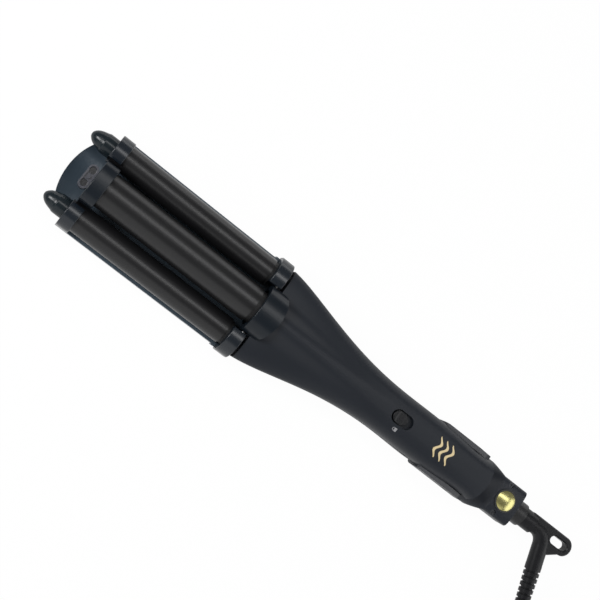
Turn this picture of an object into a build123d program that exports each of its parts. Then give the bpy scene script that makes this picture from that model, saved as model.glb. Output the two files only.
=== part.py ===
from build123d import *
import os
from math import ceil, cos, pi, radians, sin, tan

# A three-barrel hair waver of the tong type, closed and locked, lying on its lower arm.
# +X runs from the cool tips to the cord swivel, +Y to the left side, +Z up from the surface it lies on.
# The origin is on that surface, under the middle of the tool's length. Everything is in millimetres.

# ------------------------------------------------------------------ lengths along the tool, tips to swivel
TIP_LENGTH = 16.8  # bullet-shaped cool tips
FRONT_COLLAR_LENGTH = 9.2
BARREL_SHOWN = 116.8  # bare side barrel between the collars
INSULATOR_SHOWN = 2.2  # dark ring between a side barrel and its rear collar
REAR_COLLAR_LENGTH = 9.5
COLLAR_TO_FLARE = 2.2
FLARE_LENGTH = 112.0  # over which the handle narrows
GRIP_LENGTH = 35.2
CHEEK_LENGTH = 41.5  # hinge cheeks of the rear housing
HUB_LENGTH = 16.6
BLOCK_LENGTH = 20.2
BUSH_LENGTH = 10.2

# ------------------------------------------------------------------ barrels
SIDE_BARREL_D = 19.0
CENTRE_BARREL_D = 25.0
BARREL_WALL = 1.2
SIDE_PITCH = 48.0  # between the axes of the side barrels
SIDE_AXIS_Z = 16.0
CENTRE_LIFT = 8.0  # centre barrel's axis above the side ones
CENTRE_BARREL_REAR = 3.4  # the centre barrel ends this far behind the side barrels
PLUG_IN = 5.0  # how far an insulator reaches into its barrel
SIDE_NECK_R = 4.8  # the side insulators inside their collars

# ------------------------------------------------------------------ casing
SPLIT_Z = 17.0  # middle of the gap between the closed arms
ARM_GAP = 0.6
FLARE_HALF = 34.65  # half width at the front of the flare
GRIP_HALF = 16.8
SHELL_WALL = 2.2
COVER_WALL = 2.4
INNER_COVER_T = 2.0
LOW_SIDE_Z = 9.0  # the lower shell's sides are upright above this
SIDE_TOP_Z = 20.0  # the upper cover's sides are upright below this
GRIP_TOP_Z = 34.3
SHOULDER_Z = 27.5  # top of the flare beside its spine, at the front
SPINE_RISE = 3.2  # how far the spine's front stands above the grip
SPINE_HALF = 17.0
GRIP_MID = 9.0  # shoulders of the grip
GRIP_CROWN = 0.9
TONGUE_BEYOND_CHEEKS = 4.6  # the upper cover's tongue reaches this far over the hub
TONGUE_FALL = 1.0  # the cover is this much lower at the tongue
TONGUE_R = 34.0

# ------------------------------------------------------------------ tray, tips and collars
TRAY_WALL = 2.0
TRAY_WALL_TOP = 10.0
TRAY_FLOOR = 3.0
NOSE_SETBACK = 0.6  # the nose ends this far behind the tips
NOSE_HALF = 29.0
SCOOP_LENGTH = 16.0  # over which the floor curls up to the nose's lip
SCOOP_LIP_Z = 9.0
TRAY_TO_SHELL = 0.8
TAB_HALF = 14.0
TAB_T = 2.0
TAB_LENGTH = 14.0
EAR_LENGTH = 2.5
EAR_OUT = 1.0
TIP_R = 7.0
TIP_PIN_R = 3.0
OGIVE_LENGTH = 14.5
FRONT_COLLAR_WALL = 1.9
REAR_COLLAR_WALL = 4.1
COLLAR_PLATE = 2.0
COLLAR_EDGE_R = 0.6
FRONT_COLLAR_CUT = 18.0  # the collars stop this far from the middle, to let the centre barrel in
REAR_COLLAR_CUT = 18.6
STEP_IN = 2.4  # a step of the front collar's plate towards the middle
STEP_LOW = 6.0
SPIGOT_R = 4.0
SPIGOT_DROP = 5.0  # the rear collar's spigot is this far below the barrel's axis
LEAD_HOLE_R = 2.6

# ------------------------------------------------------------------ centre cap and saddle collar
CAP_START = 1.5  # centre cap's front behind the side collars' front
CAP_LENGTH = 9.9
CAP_HALF = 15.0
CAP_LOW = 6.0  # the cap's sides start this far above the side barrels' axes
CAP_OVER = 1.6  # cap above the barrel
CAP_SHOULDER = 9.0  # the cap's crown begins this far below its top
CAP_RING = 1.4
CAP_EDGE_R = 0.7
BOSS_HALF = 8.6
BOSS_WIDTH = 6.8
BOSS_HEIGHT = 10.0
BOSS_RISE = 2.0  # top of the boss above the centre barrel's axis
BOSS_RIM = 1.2
BOSS_DISH = 1.0
BEAD_R = 1.3
SADDLE_START = 3.9  # saddle collar's front behind the side rear collars' front
SADDLE_LENGTH = 16.4
SADDLE_HALF = 17.6
SADDLE_OVER = 3.2
SADDLE_BULGE = 3.6  # its rear edge's middle behind the corners
SADDLE_CORNER_R = 5.0
SADDLE_RING = 2.3
SADDLE_RECESS = 1.8
SADDLE_RECESS_R = 14.0
SADDLE_SPIGOT_R = 4.4

# ------------------------------------------------------------------ hinge
PIN_BEHIND_CHEEK = 30.1
PIN_Z = 15.0
PIN_R = 2.5
CHEEK_HALF = 18.6
CHEEK_T = 3.4
CHEEK_TOP_Z = 24.3
CHEEK_REAR_Z = 20.4
LUG_R = 6.0
LUG_T = 2.5
FLOOR_T = 2.4  # under the hinge
BULKHEAD = 2.0
SLEEVE_LENGTH = 9.0
WALL_BEHIND_PIN = 6.5  # the cover's hinge walls end this far behind the pin
OPEN_DEG = 18.0
SPRING_R = 4.3
SPRING_WIRE = 1.2
SPRING_COILS = 11
SPRING_LEG = 16.0

# ------------------------------------------------------------------ rear housing, button and swivel
HUB_HALF = 17.9
HUB_TOP_Z = 23.4
HUB_SIDE_Z = 11.0
HUB_LOW_Z = 0.7
BLOCK_HALF = 14.1
BLOCK_TOP_Z = 26.0
BLOCK_LOW_Z = 3.0
CAP_SPLIT_Z = 16.0
BUTTON_R = 6.95
BUTTON_BEHIND = 8.8  # button's middle behind the block's front
BUTTON_TRAVEL = 0.8
BUTTON_DOME = 1.9
BEZEL_W = 1.1
BEZEL_PROUD = 0.5
SCREW_SIDE = 11.4
SCREW_AHEAD = 2.4  # cap screws ahead of the button's middle
SCREW_HEAD_R = 1.9
SCREW_R = 1.1
SWITCH_SIZE = 6.0
SWITCH_Z = 15.8
SWIVEL_Z = 14.5
BUSH_R = 8.5
FLANGE_R = 6.7
FLANGE_LENGTH = 5.4
SHAFT_R = 4.5
SHAFT_IN_LOOP = 5.0

# ------------------------------------------------------------------ lock
KNOB_FROM_CHEEK = 33.7  # knob's middle ahead of the cheeks, locked
KNOB_LENGTH = 11.6
KNOB_WIDTH = 8.2
KNOB_PROUD = 0.5
LOCK_TRAVEL = 3.4
RECESS_END = 1.0  # recess beyond the knob at each end of its travel
RECESS_WIDTH = 10.0
RECESS_DEPTH = 2.9
PAD_T = 2.2
STEM_X = 4.0
STEM_Y = 5.0
HOOK_T = 2.4
HOOK_W = 6.0
NIB_LENGTH = 2.6
NIB_T = 1.4
CATCH_T = 0.8
CATCH_LENGTH = 10.4

# ------------------------------------------------------------------ inside
BOARD_AHEAD = 28.0  # circuit board behind the flare's front
BOARD_LENGTH = 68.0
BOARD_HALF = 11.0
BOARD_T = 1.6
BOARD_Z = 6.0
LEAD_R = 1.1
SUPPLY_R = 1.8
HEATER_W = 10.0
HEATER_T = 2.4
BOSS_POST_R = 3.0
INNER_SCREW_R = 1.2

# ------------------------------------------------------------------ cord moulding and cord
LOOP_SLEEVE_R = 7.15
LOOP_LENGTH = 39.1  # sleeve's front to the middle of the loop's end
LOOP_END_R = 7.0
LOOP_T = 8.4
SLOT_LENGTH = 14.6
SLOT_WIDTH = 6.1
BRANCH_R = 5.8
BRANCH_BEND = 12.0
BRANCH_X = 22.8  # where the branch's middle line leaves the tool's axis, behind the sleeve's front
BRANCH_LENGTH = 23.3
BRANCH_DEG = -71.15  # direction of the branch in plan, from +X
BOOT_LENGTH = 38.0
BOOT_R = 5.9
BOOT_END_R = 4.7
BOOT_GROOVE = 1.1
RIB_PITCH = 4.1
RIB_WIDTH = 2.5
CORD_D = 6.5
COIL_R = 33.0  # middle of the coil's turns
COIL_ACROSS = 3
COIL_HIGH = 4
CORD_RUN = 36.0  # boot to coil
TIE_T = 1.0
TIE_W = 9.0
TIE_DEG = 125.0
PLUG_DEG = 10.0  # where the plug's rear lies on the coil
PLUG_TURN = 80.0  # its pins' direction from there
PLUG_LENGTH = 35.0
PLUG_W = 34.0
PLUG_T = 13.6
PIN_PITCH = 18.6
PLUG_PIN_R = 2.0
PLUG_PIN_LENGTH = 19.0

# ------------------------------------------------------------------ clearances
FIT = 0.05  # radial, between pieces fixed to each other
RUN = 0.05  # radial, between a shaft and its bore
GAP = 0.3  # between pieces that move past each other
SEAT = 0.1  # between curved pieces fixed to each other
PLATE_GAP = 0.25  # round the inner covers

# ------------------------------------------------------------------ places that follow from the sizes
TOOL_LENGTH = (
    TIP_LENGTH + FRONT_COLLAR_LENGTH + BARREL_SHOWN + INSULATOR_SHOWN + REAR_COLLAR_LENGTH
    + COLLAR_TO_FLARE + FLARE_LENGTH + GRIP_LENGTH + CHEEK_LENGTH + HUB_LENGTH
    + BLOCK_LENGTH + BUSH_LENGTH
)
x_tip = -TOOL_LENGTH / 2
x_front_collar = x_tip + TIP_LENGTH
x_barrel = x_front_collar + COLLAR_PLATE
x_front_collar_end = x_front_collar + FRONT_COLLAR_LENGTH
x_barrel_end = x_front_collar_end + BARREL_SHOWN
x_rear_collar = x_barrel_end + INSULATOR_SHOWN
x_rear_collar_end = x_rear_collar + REAR_COLLAR_LENGTH
x_flare = x_rear_collar_end + COLLAR_TO_FLARE
x_cheek = x_flare + FLARE_LENGTH + GRIP_LENGTH
x_hub = x_cheek + CHEEK_LENGTH
x_block = x_hub + HUB_LENGTH
x_block_end = x_block + BLOCK_LENGTH
x_bush_end = x_block_end + BUSH_LENGTH
x_nose = x_tip + NOSE_SETBACK
x_tray_end = x_flare - TRAY_TO_SHELL
x_pin = x_cheek + PIN_BEHIND_CHEEK
x_wall_end = x_pin + WALL_BEHIND_PIN
x_tongue = x_hub + TONGUE_BEYOND_CHEEKS
x_cap = x_front_collar + CAP_START
x_centre_barrel = x_cap + COLLAR_PLATE
x_centre_end = x_barrel_end + CENTRE_BARREL_REAR
x_saddle = x_rear_collar + SADDLE_START
x_saddle_end = x_saddle + SADDLE_LENGTH
x_button = x_block + BUTTON_BEHIND
x_screw = x_button - SCREW_AHEAD
x_knob = x_cheek - KNOB_FROM_CHEEK
x_loop = x_bush_end + GAP
x_board = x_flare + BOARD_AHEAD
x_board_end = x_board + BOARD_LENGTH

side_y = SIDE_PITCH / 2
side_r = SIDE_BARREL_D / 2
centre_r = CENTRE_BARREL_D / 2
centre_z = SIDE_AXIS_Z + CENTRE_LIFT
tray_half = side_y + side_r + FRONT_COLLAR_WALL
low_top_z = SPLIT_Z - ARM_GAP / 2
high_low_z = SPLIT_Z + ARM_GAP / 2
cheek_in = CHEEK_HALF - CHEEK_T
lug_out = cheek_in - GAP
lug_in = lug_out - LUG_T
overhang_z = CHEEK_TOP_Z + 0.5
catch_z = low_top_z - CATCH_T
nib_top_z = catch_z - GAP
spigot_z = SIDE_AXIS_Z - SPIGOT_DROP
button_low_z = BLOCK_TOP_Z - 3.6
recess_z = GRIP_TOP_Z - RECESS_DEPTH
pad_z = recess_z - PAD_T


# ------------------------------------------------------------------ simple shapes
def box(x0, x1, y0, y1, z0, z1):
    """A box between two corners."""
    return Pos((x0 + x1) / 2, (y0 + y1) / 2, (z0 + z1) / 2) * Box(x1 - x0, y1 - y0, z1 - z0)


def rod_x(x0, x1, y, z, r):
    """A cylinder along X."""
    return Pos((x0 + x1) / 2, y, z) * Rot(0, 90, 0) * Cylinder(r, x1 - x0)


def rod_y(y0, y1, x, z, r):
    """A cylinder along Y."""
    return Pos(x, (y0 + y1) / 2, z) * Rot(90, 0, 0) * Cylinder(r, y1 - y0)


def rod_z(z0, z1, x, y, r):
    """A cylinder along Z."""
    return Pos(x, y, (z0 + z1) / 2) * Cylinder(r, z1 - z0)


def rod_between(p, q, r):
    """A cylinder from one point to another."""
    start, way = Vector(*p), Vector(*q) - Vector(*p)
    return extrude(Plane(origin=start, z_dir=way) * Circle(r), amount=way.length)


def across(x):
    """The plane across the tool at x, whose own axes are the tool's Y and Z."""
    return Plane(origin=(x, 0, 0), x_dir=(0, 1, 0), z_dir=(1, 0, 0))


def both(piece):
    """A piece on the left and its mirror image on the right."""
    return piece + mirror(piece, about=Plane.XZ)


def on_side(piece, side):
    """A left-hand piece, mirrored when side is -1."""
    return piece if side > 0 else mirror(piece, about=Plane.XZ)


def tube_along(points, radii, r):
    """A round lead or cord through points, with one bend radius for each inner point."""
    path = FilletPolyline(*points, radius=radii)
    return sweep(Plane(origin=path @ 0, z_dir=path % 0) * Circle(r), path=path)


# ------------------------------------------------------------------ the handle's curved sections
def blend(t):
    """A smooth step that falls from 1 to 0 while t rises from 0 to 1, quicker at first."""
    t = min(max(t, 0.0), 1.0)
    return (1 + cos(pi * t**0.72)) / 2


def along_flare(x):
    return (x - x_flare) / FLARE_LENGTH


def half_width(x):
    """Half the handle's width at x."""
    return GRIP_HALF + (FLARE_HALF - GRIP_HALF) * blend(along_flare(x))


def half_crown(half, z_side, z_crown, fullness):
    """The left half of a rounded crown: upright at y = half, level in the middle."""
    up = fullness * (z_crown - z_side)
    return [Bezier((half, z_side), (half, z_side + up), (fullness * half, z_crown), (0, z_crown))]


def half_spine(half, z_side, mid, z_mid, z_crown, round_off):
    """The left half of a crown with a shoulder at y = mid and a spine in the middle."""
    slope = round_off * 2 * (z_crown - z_mid) / mid
    up, out, reach = 0.7 * (z_mid - z_side), 0.45 * (half - mid), 0.5 * mid
    shoulder = Bezier(
        (half, z_side), (half, z_side + up), (mid + out, z_mid - slope * out), (mid, z_mid),
    )
    spine = Bezier((mid, z_mid), (mid - reach, z_mid + slope * reach), (reach, z_crown), (0, z_crown))
    return [shoulder, spine]


def section(x, half, z_low, z_high, low_edges, high_edges):
    """A closed section at x between two levels, with rounded edges below and above where they are given."""
    edges = [Line((half, z_low), (half, z_high)), Line((-half, z_low), (-half, z_high))]
    for z, half_edges in ((z_low, low_edges), (z_high, high_edges)):
        edges += [Line((half, z), (0, z)), Line((-half, z), (0, z))] if not half_edges else []
        for edge in half_edges:
            edges += [edge, mirror(edge, about=Plane.YZ)]
    return across(x) * make_face(edges)


def stations(x0, x1):
    """Where sections are taken between x0 and x1: closer together where the flare bends."""
    middle = [x_flare + FLARE_LENGTH * t for t in (0.12, 0.28, 0.48, 0.72, 1.0)] + [x_cheek]
    return [x0] + [x for x in middle if x0 + 8 < x < x1 - 6] + [x1]


def cover_body(x0, x1, inset, z_low):
    """The upper arm's outer form, or its inside when inset is the wall."""
    faces = []
    for x in stations(x0, x1):
        t = min(max(along_flare(x), 0), 1)
        fall = TONGUE_FALL * min(max((x - x_cheek) / (x_tongue - x_cheek), 0), 1)
        half = half_width(x) - inset
        mid = GRIP_MID + (SPINE_HALF - GRIP_MID) * blend(t)
        crown = GRIP_TOP_Z + SPINE_RISE * (1 - t) ** 1.5 - fall - inset
        z_mid = GRIP_TOP_Z - GRIP_CROWN - (GRIP_TOP_Z - GRIP_CROWN - SHOULDER_Z) * blend(t) - fall - inset
        edges = half_spine(half, SIDE_TOP_Z, mid, z_mid, crown, t)
        faces.append(section(x, half, z_low, SIDE_TOP_Z, [], edges))
    return loft(faces)


def low_body(x0, x1, inset, z_top):
    """The lower handle's outer form, or its inside when inset is the wall."""
    faces = []
    for x in stations(x0, x1):
        half = half_width(x) - inset
        edges = half_crown(half, LOW_SIDE_Z, inset, 0.78)
        faces.append(section(x, half, LOW_SIDE_Z, z_top, edges, []))
    return loft(faces)


def plan_plate(x0, x1, inset, z0, z1):
    """A flat plate with the handle's outline in plan, inset by a distance."""
    xs = stations(x0, x1)
    left = Spline(*[(x, half_width(x) - inset) for x in xs])
    right = Spline(*[(x, inset - half_width(x)) for x in xs])
    ends = Line(left @ 0, right @ 0) + Line(left @ 1, right @ 1)
    return extrude(Pos(0, 0, z0) * make_face(left + right + ends), amount=z1 - z0)


# ------------------------------------------------------------------ lower arm: handle
board_posts = [(x_board + 6, 8.5), (x_board_end - 6, 8.5), (x_board + 6, -8.5), (x_board_end - 6, -8.5)]
low_screws = [(x, side * y) for x, y in ((x_board - 14, 26.0), (x_board_end + 8, 11.0)) for side in (1, -1)]
high_screws = [(x, side * y) for x, y in ((x_flare + 12, 21.0), (x_cheek - 12, 10.5)) for side in (1, -1)]


def lower_handle_shell():
    outer = low_body(x_flare, x_cheek, 0, low_top_z)
    shell = outer - low_body(x_flare + SHELL_WALL, x_cheek + 5, SHELL_WALL, low_top_z + 5)
    for x, y in board_posts:
        shell += rod_z(SHELL_WALL - 0.6, BOARD_Z, x, y, 2.2)
    for x, y in low_screws:
        post = rod_z(1.0, low_top_z - INNER_COVER_T, x, y, BOSS_POST_R) & outer
        shell += post
        shell -= rod_z(5.0, low_top_z, x, y, INNER_SCREW_R + FIT)
    slot_z = TRAY_FLOOR - 0.4
    x_wall = x_flare + SHELL_WALL
    shell -= box(x_flare - 1, x_wall + 1, -TAB_HALF - FIT, TAB_HALF + FIT, slot_z, slot_z + TAB_T + SEAT)
    hole = rod_x(x_flare - 1, x_wall + 1, side_y, spigot_z, SPIGOT_R + FIT)
    return shell - both(hole)


def lower_inner_cover():
    x0 = x_flare + SHELL_WALL + SEAT
    z0 = low_top_z - INNER_COVER_T
    plate = plan_plate(x0, x_cheek - SEAT, SHELL_WALL + PLATE_GAP, z0, low_top_z)
    hook_front = x_knob - HOOK_T / 2
    slot_end = hook_front + HOOK_T + LOCK_TRAVEL + 3
    slot_half = HOOK_W / 2 + 1
    plate -= box(hook_front - NIB_LENGTH - 2.4, slot_end, -slot_half, slot_half, z0 - 1, low_top_z + 1)
    catch_end = hook_front - 0.4
    plate -= box(catch_end - CATCH_LENGTH - FIT, catch_end + 1, -6.1, 6.1, catch_z, low_top_z + 1)
    for x, y in low_screws:
        plate -= rod_z(z0 - 1, low_top_z + 1, x, y, INNER_SCREW_R + FIT)
        plate -= rod_z(low_top_z - 1, low_top_z + 1, x, y, SCREW_HEAD_R + SEAT)
    return plate


def inner_screws(places, z_face, z_tip, down):
    """Countersunk screws whose heads lie flush in a face; down is 1 when they point down."""
    screws = Part()
    for x, y in places:
        head = sorted((z_face, z_face - down * 0.9))
        shank = sorted((z_face - down * 0.5, z_tip))
        screws += rod_z(*head, x, y, SCREW_HEAD_R) + rod_z(*shank, x, y, INNER_SCREW_R)
    return screws


def catch_plate():
    catch_end = x_knob - HOOK_T / 2 - 0.4
    plate = box(catch_end - CATCH_LENGTH, catch_end, -6, 6, catch_z, low_top_z)
    return plate - both(rod_z(catch_z - 1, low_top_z + 1, catch_end - CATCH_LENGTH + 2.5, 3.5, 0.8))


def control_board():
    board = box(x_board, x_board_end, -BOARD_HALF, BOARD_HALF, BOARD_Z, BOARD_Z + BOARD_T)
    top = BOARD_Z + BOARD_T
    board += box(x_board + 12, x_board + 28, -8, 6, top, top + 6.4)
    board += box(x_board + 33, x_board + 38, -9, 3, top, top + 5.0)
    board += rod_z(top, top + 6.2, x_board + 46, 4, 4.0)
    board += box(x_board + 43, x_board + 52, -9.5, -3, top, top + 3.2)
    board += box(x_board + 56, x_board_end - 2, -5, 5, top, top + 5.4)
    board += box(x_board + 1, x_board + 7, -5, 5, top, top + 4.6)
    for x, y in board_posts:
        board -= rod_z(BOARD_Z - 1, top + 1, x, y, 1.0)
    return board


# ------------------------------------------------------------------ lower arm: head
def tray_plan():
    """The tray's outline: straight sides, and a narrower half-elliptic nose ahead of the collars."""
    length = x_tray_end - x_front_collar
    nose = Pos(x_front_collar, 0) * Ellipse(x_front_collar - x_nose, NOSE_HALF)
    return nose + Pos(x_front_collar + length / 2, 0) * Rectangle(length, 2 * tray_half)


def head_tray():
    """A shallow tray under the barrels, whose floor curls up into a lip at the nose."""
    x_scoop = x_nose + SCOOP_LENGTH
    rise = SCOOP_LIP_Z - TRAY_FLOOR
    scoop_r = (SCOOP_LENGTH**2 + rise**2) / (2 * rise)
    scoop_z = TRAY_FLOOR + scoop_r
    wide = tray_half + 1
    inner = tray_half - TRAY_WALL
    ahead = box(x_nose - 1, x_scoop, -wide, wide, -1, TRAY_WALL_TOP + 1)
    tray = extrude(tray_plan(), amount=TRAY_WALL_TOP)
    tray -= ahead & rod_y(-wide, wide, x_scoop, scoop_z, scoop_r)
    tray -= ahead - rod_y(-wide - 1, wide + 1, x_scoop, scoop_z, scoop_r + TRAY_FLOOR)
    tray -= box(x_scoop, x_tray_end + 1, -inner, inner, TRAY_FLOOR, TRAY_WALL_TOP + 1)
    x_ear = x_rear_collar - EAR_LENGTH
    tray += both(box(x_ear, x_rear_collar, tray_half - 1, tray_half + EAR_OUT, TRAY_FLOOR, TRAY_WALL_TOP))
    tab_z = TRAY_FLOOR - 0.4
    tray += box(x_tray_end - 8, x_tray_end, -TAB_HALF, TAB_HALF, TRAY_FLOOR - 1, tab_z + TAB_T)
    tray += box(x_tray_end - 8, x_tray_end + TAB_LENGTH, -TAB_HALF, TAB_HALF, tab_z, tab_z + TAB_T)
    return tray


def collar_outline(wall, cut):
    """A collar's left section: an arch over the barrel, a leg on the tray's wall, a foot on its floor."""
    r = side_r + wall
    ring = Pos(side_y, SIDE_AXIS_Z) * Circle(r)
    leg_h = SIDE_AXIS_Z - TRAY_WALL_TOP
    leg = Pos(side_y + r / 2, TRAY_WALL_TOP + leg_h / 2) * Rectangle(r, leg_h)
    foot_out = tray_half - TRAY_WALL - SEAT
    foot_h = SIDE_AXIS_Z - TRAY_FLOOR
    foot = Pos((cut + foot_out) / 2, TRAY_FLOOR + foot_h / 2) * Rectangle(foot_out - cut, foot_h)
    outside = Pos(foot_out + 25, TRAY_WALL_TOP - 25) * Rectangle(50, 50)
    under = Pos(side_y, TRAY_FLOOR - 25) * Rectangle(200, 50)
    middle = Pos(cut - 50, SIDE_AXIS_Z) * Rectangle(100, 100)
    return ring + leg + foot - outside - under - middle


def front_collar():
    """The left front collar, with a plate that closes the barrel and carries the cool tip."""
    outline = across(x_front_collar) * collar_outline(FRONT_COLLAR_WALL, FRONT_COLLAR_CUT)
    collar = extrude(outline, amount=FRONT_COLLAR_LENGTH)
    collar = fillet(collar.edges().filter_by(GeomType.CIRCLE), COLLAR_EDGE_R)
    y_step, z_step = FRONT_COLLAR_CUT - STEP_IN, SIDE_AXIS_Z - STEP_LOW
    collar += box(x_front_collar, x_barrel, y_step, FRONT_COLLAR_CUT + 1, z_step, SIDE_AXIS_Z)
    collar -= rod_x(x_barrel, x_front_collar_end + 1, side_y, SIDE_AXIS_Z, side_r + FIT)
    return collar - rod_x(x_front_collar - 1, x_barrel + 1, side_y, SIDE_AXIS_Z, TIP_PIN_R + FIT)


def rear_collar():
    """The left rear collar: it holds the insulator, and its spigot goes through the shell's front wall."""
    outline = across(x_rear_collar) * collar_outline(REAR_COLLAR_WALL, REAR_COLLAR_CUT)
    collar = extrude(outline, amount=REAR_COLLAR_LENGTH)
    collar = fillet(collar.edges().filter_by(GeomType.CIRCLE), COLLAR_EDGE_R)
    x_back = x_rear_collar_end - 2
    collar -= rod_x(x_rear_collar - 1, x_back, side_y, SIDE_AXIS_Z, SIDE_NECK_R + FIT)
    collar -= box(x_rear_collar + 3.6, x_back, side_y - 4, side_y + 4, spigot_z - 3, SIDE_AXIS_Z)
    collar += rod_x(x_rear_collar_end - 1, x_flare + SHELL_WALL, side_y, spigot_z, SPIGOT_R)
    return collar - rod_x(x_rear_collar_end - 3, x_flare + SHELL_WALL + 1, side_y, spigot_z, LEAD_HOLE_R)


def side_tip():
    """The left cool tip, a bullet on the barrel's axis, with a spigot in the collar's plate."""
    points = [(OGIVE_LENGTH * (1 - cos(radians(a))), TIP_R * sin(radians(a))) for a in (0, 22, 45, 68, 90)]
    curve = Spline(*points, tangents=((0, 1), (1, 0)))
    end = TIP_LENGTH + COLLAR_PLATE - SEAT
    back = Polyline((OGIVE_LENGTH, TIP_R), (TIP_LENGTH, TIP_R), (TIP_LENGTH, TIP_PIN_R), (end, TIP_PIN_R))
    close = Polyline((end, TIP_PIN_R), (end, 0), (0, 0))
    bullet = revolve(make_face(curve + back + close), axis=Axis.X, revolution_arc=360)
    return Pos(x_tip, side_y, SIDE_AXIS_Z) * bullet


def barrel(x0, x1, y, z, r):
    return rod_x(x0, x1, y, z, r) - rod_x(x0 - 1, x1 + 1, y, z, r - BARREL_WALL)


def insulator(x_joint, shown, neck, y, z, r, neck_r):
    """A ring behind a barrel, with necks before and behind it and a bore for the leads."""
    ring = rod_x(x_joint, x_joint + shown, y, z, r - 1)
    ring += rod_x(x_joint - PLUG_IN, x_joint, y, z, r - BARREL_WALL - FIT)
    ring += rod_x(x_joint, x_joint + shown + neck, y, z, neck_r)
    return ring - rod_x(x_joint - PLUG_IN - 1, x_joint + shown + neck + 1, y, z, LEAD_HOLE_R)


def heat_spreader(x0, x1, y, z, r):
    """An aluminium core that fills the barrel, slotted for the heater plate."""
    core = rod_x(x0, x1, y, z, r - BARREL_WALL - FIT)
    half = HEATER_W / 2 + SEAT
    thick = HEATER_T / 2 + SEAT
    return core - box(x0 - 1, x1 + 1, y - half, y + half, z - thick, z + thick)


def heater(x0, x1, y, z):
    return box(x0, x1, y - HEATER_W / 2, y + HEATER_W / 2, z - HEATER_T / 2, z + HEATER_T / 2)


def side_leads():
    """The left heater's lead: out of the barrel, down through the collar's spigot and to the board."""
    start = (x_barrel_end - PLUG_IN - 2, side_y, SIDE_AXIS_Z)
    points = [
        start,
        (x_rear_collar + 4.6, side_y, SIDE_AXIS_Z),
        (x_rear_collar_end - 2.4, side_y, spigot_z),
        (x_flare + 9, side_y, spigot_z),
        (x_board - 9, 7.5, BOARD_Z + 3.4),
        (x_board + GAP, 4.0, BOARD_Z + 3.4),
    ]
    return tube_along(points, [2.5, 2.5, 6, 6], LEAD_R)


# ------------------------------------------------------------------ lower arm: rear housing
def rear_form():
    """Hub and block as one outer form: a rounded hub that narrows into a squarer block."""
    stages = [
        (x_hub, HUB_HALF, HUB_LOW_Z, HUB_SIDE_Z, HUB_TOP_Z, 0.55),
        (x_hub + 8.0, HUB_HALF, HUB_LOW_Z, HUB_SIDE_Z, HUB_TOP_Z, 0.55),
        (x_hub + 12.5, (HUB_HALF + BLOCK_HALF) / 2 + 0.3, HUB_LOW_Z + 0.8, 15.0, HUB_TOP_Z + 0.9, 0.7),
        (x_block, BLOCK_HALF, BLOCK_LOW_Z, 20.5, BLOCK_TOP_Z, 0.88),
    ]
    hub = []
    for x, half, z_low, z_side, z_high, fullness in stages:
        low_edges = half_crown(half, LOW_SIDE_Z, z_low, 0.78)
        high_edges = half_crown(half, z_side, z_high, fullness)
        hub.append(section(x, half, LOW_SIDE_Z, z_side, low_edges, high_edges))
    return loft(hub[:2]) + loft(hub[1:]) + extrude(hub[-1], amount=BLOCK_LENGTH)


def cheek_form():
    """The two cheeks and the floor between them; their front edge is an arc about the hinge pin."""
    low_edges = half_crown(CHEEK_HALF, LOW_SIDE_Z, 0, 0.78)
    outline = section(x_cheek, CHEEK_HALF, LOW_SIDE_Z, CHEEK_TOP_Z, low_edges, [])
    form = extrude(outline, amount=CHEEK_LENGTH)
    above = box(x_cheek - 1, x_hub + 1, -20, 20, low_top_z, 40)
    form -= above - rod_y(-25, 25, x_pin, PIN_Z, PIN_BEHIND_CHEEK)
    x_end = x_hub + 1
    slope = Polyline((x_pin, CHEEK_TOP_Z), (x_end, CHEEK_REAR_Z), (x_end, 40), (x_pin, 40), close=True)
    wedge = extrude(Plane.XZ * make_face(slope), amount=25, both=True)
    return form - wedge


def sleeve_form(x0, inset):
    """A bar with the grip's lower section, inset, up to the bulkhead."""
    half = GRIP_HALF - inset
    edges = half_crown(half, LOW_SIDE_Z, inset, 0.78)
    top = low_top_z - INNER_COVER_T - SEAT
    return extrude(section(x0, half, LOW_SIDE_Z, top, edges, []), amount=x_cheek + BULKHEAD / 2 - x0)


def button_room():
    """The room under the button for the switch, and the hole for the bezel."""
    room = box(x_button - 6.6, x_button + 6.6, -6, 6, 10.2, button_low_z - 1.2)
    bezel_r = BUTTON_R + GAP / 3 + BEZEL_W
    return room + rod_z(button_low_z - 1.3, BLOCK_TOP_Z + 2, x_button, 0, bezel_r + FIT)


def hinge_housing():
    """Cheeks, hub and block below the split of the rear cap, with a sleeve inside the lower shell."""
    low = rear_form() & box(x_hub - 1, x_block_end + 1, -30, 30, -5, CAP_SPLIT_Z)
    x_wall = x_cheek + BULKHEAD
    trough = box(x_wall, x_hub, -cheek_in, cheek_in, FLOOR_T, 40)
    trough += box(x_cheek - 1, x_wall + 1, -cheek_in, cheek_in, low_top_z, 40)
    trough += box(x_cheek - 1, x_wall + 1, -10, 10, SHELL_WALL + 2, 40)
    body = cheek_form() - trough + low
    x_sleeve = x_cheek - SLEEVE_LENGTH
    body += sleeve_form(x_sleeve, SHELL_WALL + SEAT) - sleeve_form(x_sleeve - 1, SHELL_WALL + 2)
    body -= box(x_hub - 1, x_block + 2.3, -5, 5, 3.6, CAP_SPLIT_Z + 1)
    body -= button_room()
    body -= rod_x(x_button, x_block_end + 1, 0, SWIVEL_Z, SHAFT_R - 1.2)
    body -= rod_y(-CHEEK_HALF - 1, CHEEK_HALF + 1, x_pin, PIN_Z, PIN_R + 0.02)
    return body - both(rod_z(6.0, 30, x_screw, SCREW_SIDE, SCREW_R + FIT))


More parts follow.
